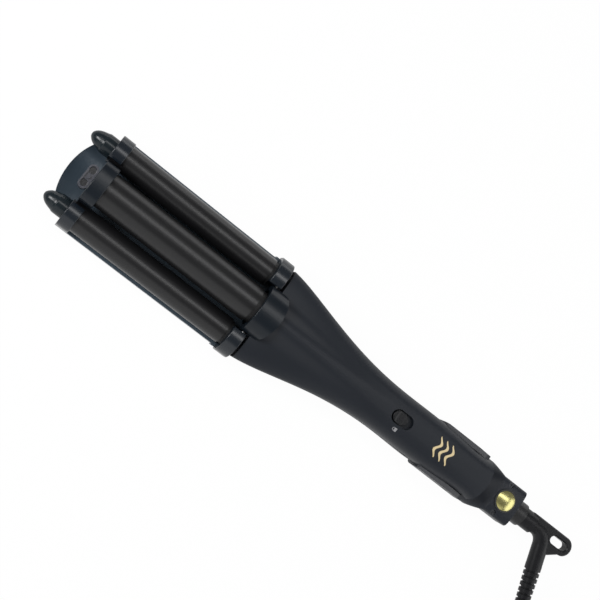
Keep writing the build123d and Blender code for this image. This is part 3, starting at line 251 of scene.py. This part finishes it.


# the grey for the cheeks' tops is painted light over the cover's shade, not a second paint
HOUSING_BLACK, CHEEK_TOP_PAINTED_LIGHT, CHEEK_TOP_FROM = (0.0100, 0.0125, 0.0180), (0.0600, 0.0620, 0.0680), 0.0215
cheek_painted_light = paint_with_painted_light("cheek_painted_light", HOUSING_BLACK, CHEEK_TOP_PAINTED_LIGHT, CHEEK_TOP_FROM)
print("cheeks:", cheek_painted_light.name)

# %% [markdown]
# ## Polished black for the collars, cool tips and tray
#
# These parts touch hot barrels, so they are moulded in a hard heat-proof resin and left glossy. Moulded gloss is
# never a perfect mirror: it has a slow waviness from the tool and very fine scratches from use. The boss on the
# middle barrel's cap is greyer, and carries two dark spots of painted shade where its sockets lie.

# %% polished resin
def polished_resin(name, base, roughness, shine=0.5):
    """Glossy dark resin: slow waviness in the bump, fine handling marks in the roughness."""
    f = Finish(name, Specular_IOR_Level=shine)
    waves = f.noise(60.0, 1.0, 0.4)
    marks = f.noise(900.0, 4.0, 0.7)
    tone = f.vary(waves, base, 0.10)
    return f.feed(
        Base_Color=tone,
        Roughness=roughness + (marks - 0.5).abs() * 0.12,
        Normal=f.bump(waves, 0.00005, 0.2),
    )


collar_resin = polished_resin("collar_resin", (0.0060, 0.0095, 0.0145), 0.25)
cap_resin = polished_resin("cap_resin", (0.0050, 0.0080, 0.0120), 0.30, 0.28)
tip_resin = polished_resin("tip_resin", (0.0085, 0.0135, 0.0170), 0.22, 0.30)
tray_resin = polished_resin("tray_resin", (0.0450, 0.0640, 0.0840), 0.36)
print("resins:", collar_resin.name, cap_resin.name, tip_resin.name, tray_resin.name)

# %% boss resin
boss_low, boss_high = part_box("cap_boss")
boss_middle = (Vector(boss_low) + Vector(boss_high)) / 2


def resin_with_painted_shade(name, middle, reach, spot):
    """Grey resin with two dark round spots of painted shade for the sockets, in tone and bump only, at a reach from
    the middle along Y.
    """
    f = Finish(name, Specular_IOR_Level=0.5)
    x, y, _ = f.axes()
    away = ((x - middle.x) ** 2.0 + ((y - middle.y).abs() - reach) ** 2.0) ** 0.5
    edge = ((away - spot) * 2500.0 + 0.5).clamp()
    marks = f.noise(900.0, 4.0, 0.7)
    # the dark tone inside the two spots is painted shade for the sockets; the grey outside is the boss's own tone
    tone = f.mix(edge, shade(0.0060, 0.0065, 0.0090), shade(0.0480, 0.0500, 0.0640))
    return f.feed(Base_Color=tone, Roughness=marks * 0.06 + 0.24, Normal=f.bump(edge, 0.0002, 0.6))


# reach and radius of the two spots of painted shade
SHADE_SPOT_REACH, SHADE_SPOT_R = 0.0046, 0.0023
boss_resin_and_painted_shade = resin_with_painted_shade("boss_resin_and_painted_shade", boss_middle, SHADE_SPOT_REACH, SHADE_SPOT_R)
print("boss middle", [round(v, 4) for v in boss_middle])

# %% [markdown]
# ## Ceramic coating for the barrels
#
# The barrels are aluminium tubes sprayed with a dark ceramic enamel. The spray leaves a very fine orange peel, which
# shows only in the highlights and spreads each of them into a broad soft band.

# %% ceramic enamel
def ceramic_enamel():
    """Charcoal enamel: orange peel of 0.5 mm in the bump, slow patches in tone and roughness."""
    f = Finish("ceramic_enamel", Specular_IOR_Level=0.5)
    peel = f.noise(1900.0, 2.0, 0.5)
    patches = f.noise(30.0, 2.0, 0.5)
    tone = f.mix(patches, shade(0.0062, 0.0062, 0.0070), shade(0.0086, 0.0086, 0.0094))
    return f.feed(
        Base_Color=tone,
        Metallic=patches * 0.08 + 0.10,
        Roughness=patches * 0.06 + 0.31,
        Normal=f.bump(peel, 0.00002, 0.4),
    )


barrel_enamel = ceramic_enamel()
print("barrel finish:", barrel_enamel.name)

# %% [markdown]
# ## Gold for the button
#
# The button is a domed cap of gold-plated brass. Plating over a turned part keeps the lathe's fine circles, which
# drag the highlight into a streak.

# %% gold plate
button_low, button_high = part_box("power_button")
button_middle = (Vector(button_low) + Vector(button_high)) / 2


def gold_plate(name, middle):
    """Gold with fine circles about a middle: rings in the bump follow the distance from it."""
    f = Finish(name, Specular_IOR_Level=0.5)
    x, y, _ = f.axes()
    radius = ((x - middle.x) ** 2.0 + (y - middle.y) ** 2.0) ** 0.5
    rings = (radius * 21000.0).sin() * 0.5 + 0.5
    patches = f.noise(160.0, 2.0, 0.5)
    tone = f.mix(patches, shade(0.40, 0.37, 0.13), shade(0.58, 0.54, 0.25))
    return f.feed(
        Base_Color=tone,
        Metallic=patches * 0.05 + 0.95,
        Roughness=patches * 0.10 + 0.20,
        Normal=f.bump(rings, 0.000012, 0.5),
    )


button_gold = gold_plate("button_gold", button_middle)
print("button middle", [round(v, 4) for v in button_middle])

# %% [markdown]
# ## Plain finishes
#
# Inside the arms are aluminium cores, heater plates, a circuit board, leads and steel fasteners. They are seldom
# seen, but each still gets the grain or colour of what it is.

# %% metal with a grain
def drawn_metal(name, base, roughness, scale=(40.0, 900.0, 900.0), metallic=1.0):
    """Metal with a grain along X: noise stretched by a Mapping node."""
    f = Finish(name)
    stretched = f.node("ShaderNodeMapping", Vector=f.place(), Scale=scale)
    grain = f.node("ShaderNodeTexNoise", Vector=stretched, Scale=1.0, Detail=3.0, Roughness=0.6)
    tone = f.mix(grain, shade(*[c * 0.86 for c in base]), shade(*[min(c * 1.1, 1.0) for c in base]))
    return f.feed(
        Base_Color=tone,
        Metallic=grain * 0.02 + (metallic - 0.02),
        Roughness=grain * 0.14 + (roughness - 0.07),
        Normal=f.bump(grain, 0.00002, 0.4),
    )


steel = drawn_metal("ground_steel", (0.52, 0.53, 0.55), 0.30)
aluminium = drawn_metal("extruded_aluminium", (0.74, 0.75, 0.77), 0.36)
heater_metal = drawn_metal("heater_plate_metal", (0.62, 0.63, 0.65), 0.42)
pin_metal = drawn_metal("nickelled_pins", (0.70, 0.66, 0.55), 0.24)
blackened_steel = drawn_metal("blackened_steel", (0.045, 0.047, 0.052), 0.34, metallic=0.8)
print("metals:", steel.name, aluminium.name, heater_metal.name, pin_metal.name)

# %% plain plastics and leads
def moulded_plastic(name, base, roughness, grain_scale=1500.0, depth=0.00005, shine=0.45):
    """Spark-eroded moulded plastic: even grain in the bump, a little variation in tone."""
    f = Finish(name, Specular_IOR_Level=shine)
    grain = f.noise(grain_scale, 3.0, 0.6)
    patches = f.noise(35.0, 2.0, 0.5)
    tone = f.vary(patches, base, 0.12)
    return f.feed(Base_Color=tone, Roughness=patches * 0.08 + (roughness - 0.04), Normal=f.bump(grain, depth, 0.6))


black_plastic = moulded_plastic("black_plastic", (0.008, 0.0083, 0.009), 0.42)
insulator_plastic = moulded_plastic("insulator_plastic", (0.006, 0.006, 0.0065), 0.55)
slider_plastic = moulded_plastic("slider_plastic", (0.0060, 0.0065, 0.0080), 0.38, 2200.0, 0.00003, 0.22)
lead_silicone = moulded_plastic("lead_silicone", (0.72, 0.70, 0.63), 0.45, 700.0, 0.00002)
board_green = moulded_plastic("board_green", (0.012, 0.085, 0.030), 0.35, 400.0, 0.00003)
print("plastics:", black_plastic.name, insulator_plastic.name, slider_plastic.name)

# %% [markdown]
# ## Rubber for the cord and its mouldings
#
# The cord's jacket and the bend relief are soft PVC. Its highlight is broad and blurred, and broken up by a faint
# pebbling. The relief and boot are a little duller than the jacket.

# %% cord rubber
def cord_rubber(name, base, roughness, shine=0.5):
    """Soft PVC: pebbling of 0.8 mm in the bump and handling marks in the roughness."""
    f = Finish(name, Specular_IOR_Level=shine)
    pebble = f.noise(1200.0, 2.0, 0.5)
    marks = f.noise(120.0, 3.0, 0.6)
    tone = f.vary(marks, base, 0.15)
    return f.feed(Base_Color=tone, Roughness=marks * 0.12 + (roughness - 0.06), Normal=f.bump(pebble, 0.00005, 0.5))


rubber = cord_rubber("cord_rubber", (0.0075, 0.0078, 0.0095), 0.40)
boot_rubber = cord_rubber("boot_rubber", (0.0055, 0.0058, 0.0072), 0.40, 0.24)
print("rubber:", rubber.name, boot_rubber.name)

# %% [markdown]
# ## Hook-and-loop tape
#
# The tie round the coil is woven tape with a napped face. Two sine waves at right angles make the weave, and a fine
# noise lifts the nap.

# %% tape
def woven_tape():
    """Woven tape: threads of 0.8 mm as crossed sines, nap as noise, both in the bump."""
    f = Finish("woven_tape", Specular_IOR_Level=0.3, Sheen_Weight=0.4, Sheen_Roughness=0.6)
    x, y, z = f.axes()
    weave = ((x + y) * 7800.0).sin() * ((x - y + z) * 7800.0).sin() * 0.5 + 0.5
    nap = f.noise(3000.0, 2.0, 0.6)
    tone = f.mix(weave, shade(0.006, 0.006, 0.0065), shade(0.016, 0.016, 0.017))
    return f.feed(Base_Color=tone, Roughness=nap * 0.2 + 0.7, Normal=f.bump(weave + nap * 0.5, 0.0002, 0.8))


tape = woven_tape()
print("tape:", tape.name)

# %% [markdown]
# ## Giving each solid its finish
#
# Each solid of the CAD model keeps its shape. Only the material in its slots changes.

# %% dress the solids
finish_of = {
    handle_paint: ["lower_handle_shell", "upper_cover"],
    housing_paint: ["rear_cap"],
    cheek_painted_light: ["hinge_housing"],
    collar_resin: [
        "front_collar_left", "front_collar_right", "rear_collar_left", "rear_collar_right",
    ],
    cap_resin: ["centre_front_cap", "centre_rear_collar"],
    boss_resin_and_painted_shade: ["cap_boss"],
    tip_resin: ["side_tip_left", "side_tip_right"],
    tray_resin: ["head_tray"],
    barrel_enamel: ["side_barrel_left", "side_barrel_right", "centre_barrel"],
    button_gold: ["power_button"],
    steel: [
        "hinge_pin", "opening_spring", "lower_cover_screws", "upper_cover_screws",
        "catch_plate", "swivel_shaft",
    ],
    aluminium: ["side_heat_spreader_left", "side_heat_spreader_right", "centre_heat_spreader"],
    heater_metal: ["side_heater_left", "side_heater_right", "centre_heater"],
    pin_metal: ["plug_pins"],
    blackened_steel: ["cap_screws"],
    black_plastic: [
        "button_bezel", "power_switch", "lower_inner_cover", "upper_inner_cover", "swivel_bush", "lock_hook",
    ],
    slider_plastic: ["lock_slider"],
    insulator_plastic: ["side_insulator_left", "side_insulator_right", "centre_insulator"],
    lead_silicone: ["side_heater_leads", "centre_heater_leads", "supply_leads"],
    board_green: ["control_board"],
    rubber: ["mains_cord", "cord_coil", "cord_tail", "plug_body"],
    boot_rubber: ["cord_relief_loop", "cord_boot"],
    tape: ["cord_tie"],
}


def dress(piece, material):
    """Puts a material in every slot of an object."""
    if not piece.data.materials:
        piece.data.materials.append(material)
    for place in piece.material_slots:
        place.material = material


for material, names in finish_of.items():
    for name in names:
        dress(nodes[name], material)
dressed = {name for names in finish_of.values() for name in names}
print("dressed", len(dressed), "of", len(nodes), "left:", sorted(set(nodes) - dressed))

# %% [markdown]
# ## The cord
#
# A mains cord is a fixed length of something springy. This one leaves its ribbed boot, sinks to the surface, and is
# wound in a round coil of twelve turns, four high and three across, held by the tie. Its end climbs onto the coil
# and goes into the plug. One NURBS curve follows the route: its points are the ones the solid cord bends round.

# %% the cord's route
CORD_D, CORD_LENGTH = 0.0065, 2.5
COIL_MIDDLE = np.array([0.28197, -0.08142])
COIL_R = 0.033
COIL_LOW = 0.001
RUN_POINTS = [
    (0.23917, -0.05820, 0.0145),
    (0.24201, -0.06653, 0.0141),
    (0.24508, -0.07552, 0.0129),
    (0.24730, -0.08504, 0.0108),
    (0.24650, -0.09650, 0.0107),
]
TAIL_POINTS = [
    (0.30447, -0.10555, 0.0262),
    (0.31083, -0.09742, 0.0300),
    (0.31447, -0.08715, 0.0334),
    (0.31447, -0.07599, 0.0338),
]
TURNS = [(1, 1), (1, 0), (0, 0), (-1, 0), (-1, 1), (0, 1), (-1, 2), (-1, 3), (0, 2), (1, 2), (1, 3), (0, 3)]
COIL_START_DEG, COIL_STOP_DEG = -150.0, 11 * 360 - 65.0
POINTS_PER_TURN = 18
STEP_FROM = 0.75  # the share of a turn after which the cord steps to its next place


def coil_points():
    """Points on the coil: angle grows evenly; radius and height step smoothly from a turn's place to the next."""
    count = int((COIL_STOP_DEG - COIL_START_DEG) / 360 * POINTS_PER_TURN)
    angle = np.linspace(COIL_START_DEG, COIL_STOP_DEG, count)
    turn = (angle - COIL_START_DEG) / 360.0
    first = np.minimum(turn.astype(int), len(TURNS) - 1)
    after = np.minimum(first + 1, len(TURNS) - 1)
    step = np.clip((turn - first - STEP_FROM) / (1 - STEP_FROM), 0, 1)
    step = step * step * (3 - 2 * step)
    places = np.array(TURNS, float)
    place = places[first] * (1 - step[:, None]) + places[after] * step[:, None]
    radius = COIL_R + place[:, 0] * CORD_D
    height = COIL_LOW + CORD_D * (place[:, 1] + 0.5)
    turned = np.radians(angle)
    return np.stack(
        [COIL_MIDDLE[0] + radius * np.cos(turned), COIL_MIDDLE[1] + radius * np.sin(turned), height], axis=1
    )


def nurbs_tube(name, points, diameter, material):
    """An open NURBS curve through control points, bevelled to a round cord."""
    data = bpy.data.curves.new(name, "CURVE")
    data.dimensions = "3D"
    data.bevel_depth, data.bevel_resolution = diameter / 2, 6
    data.resolution_u = 6
    data.use_fill_caps = True
    line = data.splines.new("NURBS")
    line.points.add(len(points) - 1)
    line.points.foreach_set("co", np.hstack([np.asarray(points), np.ones((len(points), 1))]).ravel())
    line.order_u = 3
    line.use_endpoint_u = True
    data.materials.append(material)
    made = bpy.data.objects.new(name, data)
    scene.collection.objects.link(made)
    return made


coil = coil_points()
route = np.vstack([RUN_POINTS, coil, TAIL_POINTS])
cord = nurbs_tube("flex_cord", route, CORD_D, rubber)
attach(cord, "cord")
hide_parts("mains_cord", "cord_coil", "cord_tail")
run_length = np.linalg.norm(np.diff(route, axis=0), axis=1).sum()
print("cord runs", round(float(run_length), 3), "m over", len(route), "points")

# %% [markdown]
# ## Printed marks on the cover
#
# The cover carries two small prints: a padlock beside the slider, and a gold mark near the hinge, drawn here as three
# waves, one for each barrel. A print has no thickness to speak of, so each is a flat grid draped on the cover by a
# Shrinkwrap modifier, which is applied so that the piece stands alone.

# %% draping a flat piece
ABOVE_COVER = 0.05  # the height from which a flat piece is dropped


def grid_mesh(name, points, columns, rows, material):
    """A grid of quads through points given row by row."""
    index = np.arange(columns * rows).reshape(rows, columns)
    quads = np.stack([index[:-1, :-1], index[:-1, 1:], index[1:, 1:], index[1:, :-1]], axis=-1).reshape(-1, 4)
    data = bpy.data.meshes.new(name)
    data.from_pydata(points.reshape(-1, 3).tolist(), [], quads.tolist())
    data.materials.append(material)
    made = bpy.data.objects.new(name, data)
    scene.collection.objects.link(made)
    return made


def drape(piece, target, lift=0.00006):
    """Drops a flat piece on a target from above and applies the result."""
    wrap = piece.modifiers.new("drop", "SHRINKWRAP")
    wrap.target, wrap.wrap_method, wrap.offset = target, "PROJECT", lift
    wrap.use_project_x = wrap.use_project_y = False
    wrap.use_project_z, wrap.use_negative_direction, wrap.use_positive_direction = True, True, False
    bpy.context.view_layer.update()
    held = piece.evaluated_get(bpy.context.evaluated_depsgraph_get())
    dropped = bpy.data.meshes.new_from_object(held)
    piece.modifiers.clear()
    piece.data = dropped
    return piece


print("draping ready")

# %% ink and leaf
gold_leaf = moulded_plastic("gold_leaf", (0.62, 0.50, 0.28), 0.40, 2600.0, 0.00001)
pale_ink = moulded_plastic("pale_ink", (0.27, 0.27, 0.28), 0.55, 2600.0, 0.00001)

# %% three gold waves
MARK_X, MARK_LONG, MARK_STEP = 0.1125, 0.0150, 0.0052
WAVE_WIDTH, WAVE_SWING = 0.0021, 0.0014


def wave_strip(name, middle, width, amplitude):
    """A strip along Y whose middle line is x = middle + amplitude sin, narrowing to points at both ends."""
    t = np.linspace(-1, 1, 61)[:, None]
    side = np.linspace(-1, 1, 4)[None, :]
    thin = np.sqrt(np.clip(1 - t**2, 0.0004, 1))
    x = middle + amplitude * np.sin(t * math.pi * 1.5) + side * width / 2 * thin
    y = t * MARK_LONG / 2 + side * 0
    points = np.stack([x, y, np.full_like(x, ABOVE_COVER)], axis=-1)
    return grid_mesh(name, points, 4, 61, gold_leaf)


for number, place in enumerate((-1, 0, 1)):
    strip = wave_strip(f"gold_wave_{number}", MARK_X + place * MARK_STEP, WAVE_WIDTH, WAVE_SWING)
    drape(strip, nodes["upper_cover"])
    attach(strip, "upper_arm")
print("three waves", MARK_STEP * 2 + WAVE_WIDTH, "m along")

# %% padlock
LOCK_MARK = (0.0755, -0.0083)


def ring_strip(name, middle, radius, width, start, stop, material, count=41):
    """Part of a flat ring: radius and width, from one angle to another."""
    a = np.radians(np.linspace(start, stop, count))[:, None]
    r = radius + np.linspace(-0.5, 0.5, 3)[None, :] * width
    x, y = middle[0] + r * np.cos(a), middle[1] + r * np.sin(a)
    points = np.stack([x, y, np.full_like(x, ABOVE_COVER)], axis=-1)
    return grid_mesh(name, points, 3, count, material)


def plate_strip(name, middle, long, wide, material):
    """A small flat rectangle as a grid."""
    x = middle[0] + np.linspace(-0.5, 0.5, 5)[None, :] * long + np.zeros((5, 1))
    y = middle[1] + np.linspace(-0.5, 0.5, 5)[:, None] * wide + np.zeros((1, 5))
    return grid_mesh(name, np.stack([x, y, np.full_like(x, ABOVE_COVER)], axis=-1), 5, 5, material)


SHACKLE_X, BODY_X = LOCK_MARK[0] - 0.0008, LOCK_MARK[0] + 0.0004
shackle = ring_strip("padlock_shackle", (SHACKLE_X, LOCK_MARK[1]), 0.00095, 0.0004, 90, 270, pale_ink)
lock_body = plate_strip("padlock_body", (BODY_X, LOCK_MARK[1]), 0.0020, 0.0026, pale_ink)
for piece in (shackle, lock_body):
    drape(piece, nodes["upper_cover"])
    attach(piece, "upper_arm")
print("padlock at", LOCK_MARK)

# %% [markdown]
# ## Floor and light
#
# A product on a white sweep is lit by big soft sources. The floor is white for the camera and in reflections, and
# the sky is a weak, even white. The longest lamps lie along the barrels, because a cylinder shows a lamp as a
# streak, and a small one gives each cool tip its spot.

# %% white floor
SEEN_WHITE = 0.97  # the share of plain white in the floor that is seen


def stage_material():
    """White for camera and glossy rays, and a matt pale floor for all other light."""
    material = bpy.data.materials.new("white_sweep")
    material.use_nodes = True
    tree = material.node_tree
    tree.nodes.clear()
    out = tree.nodes.new("ShaderNodeOutputMaterial")
    matt = tree.nodes.new("ShaderNodeBsdfDiffuse")
    matt.inputs["Color"].default_value = shade(0.86, 0.86, 0.86)
    glow = tree.nodes.new("ShaderNodeEmission")
    glow.inputs["Strength"].default_value = 1.0
    mix = tree.nodes.new("ShaderNodeMixShader")
    tree.links.new(matt.outputs[0], mix.inputs[1])
    tree.links.new(glow.outputs[0], mix.inputs[2])
    rays = tree.nodes.new("ShaderNodeLightPath")
    seen = tree.nodes.new("ShaderNodeMath")
    seen.operation = "MAXIMUM"
    tree.links.new(rays.outputs["Is Camera Ray"], seen.inputs[0])
    tree.links.new(rays.outputs["Is Glossy Ray"], seen.inputs[1])
    share = tree.nodes.new("ShaderNodeMath")
    share.operation = "MULTIPLY"
    share.inputs[1].default_value = SEEN_WHITE
    tree.links.new(seen.outputs[0], share.inputs[0])
    tree.links.new(share.outputs[0], mix.inputs[0])
    tree.links.new(mix.outputs[0], out.inputs[0])
    return material


def flat_sheet(name, half, z, material):
    """A square sheet at a height."""
    data = bpy.data.meshes.new(name)
    corners = [(-half, -half, z), (half, -half, z), (half, half, z), (-half, half, z)]
    data.from_pydata(corners, [], [(0, 1, 2, 3)])
    data.materials.append(material)
    made = bpy.data.objects.new(name, data)
    scene.collection.objects.link(made)
    return made


floor = flat_sheet("floor", 4.0, -0.0002, stage_material())
print("floor laid")

# %% world and lamps
world = bpy.data.worlds.new("studio")
scene.world = world
world.use_nodes = True
sky = world.node_tree.nodes["Background"]
sky.inputs["Color"].default_value = shade(1.0, 1.0, 1.0)
sky.inputs["Strength"].default_value = 0.21


def soft_box(name, place, aim, size, power):
    """A rectangular lamp at a place, turned to look at a point, with its long side along X."""
    data = bpy.data.lights.new(name, "AREA")
    data.shape, data.size, data.size_y, data.energy = "RECTANGLE", size[0], size[1], power
    lamp = bpy.data.objects.new(name, data)
    back = (Vector(place) - Vector(aim)).normalized()
    right = (Vector((1, 0, 0)) - back * back.x).normalized()
    up = back.cross(right)
    lamp.matrix_world = Matrix((
        (right.x, up.x, back.x, place[0]),
        (right.y, up.y, back.y, place[1]),
        (right.z, up.z, back.z, place[2]),
        (0, 0, 0, 1),
    ))
    scene.collection.objects.link(lamp)
    return lamp


soft_box("key_box", (0.0, 0.28, 0.96), (0.0, 0.0, 0.0), (1.6, 0.26), 4.8)
soft_box("right_wall", (0.0, -0.95, 0.45), (0.0, 0.0, 0.0), (1.8, 1.1), 5.0)
soft_box("left_wall", (0.0, 1.20, 0.12), (0.0, 0.0, 0.08), (2.2, 0.30), 4.2)
soft_box("tip_spot", (-0.75, -0.10, 0.60), (-0.15, 0.0, 0.0), (0.3, 0.3), 4.4)
soft_box("rear_box", (1.0, 0.0, 0.45), (0.0, 0.0, 0.0), (0.6, 1.0), 4.0)

scene.view_settings.view_transform = "Standard"
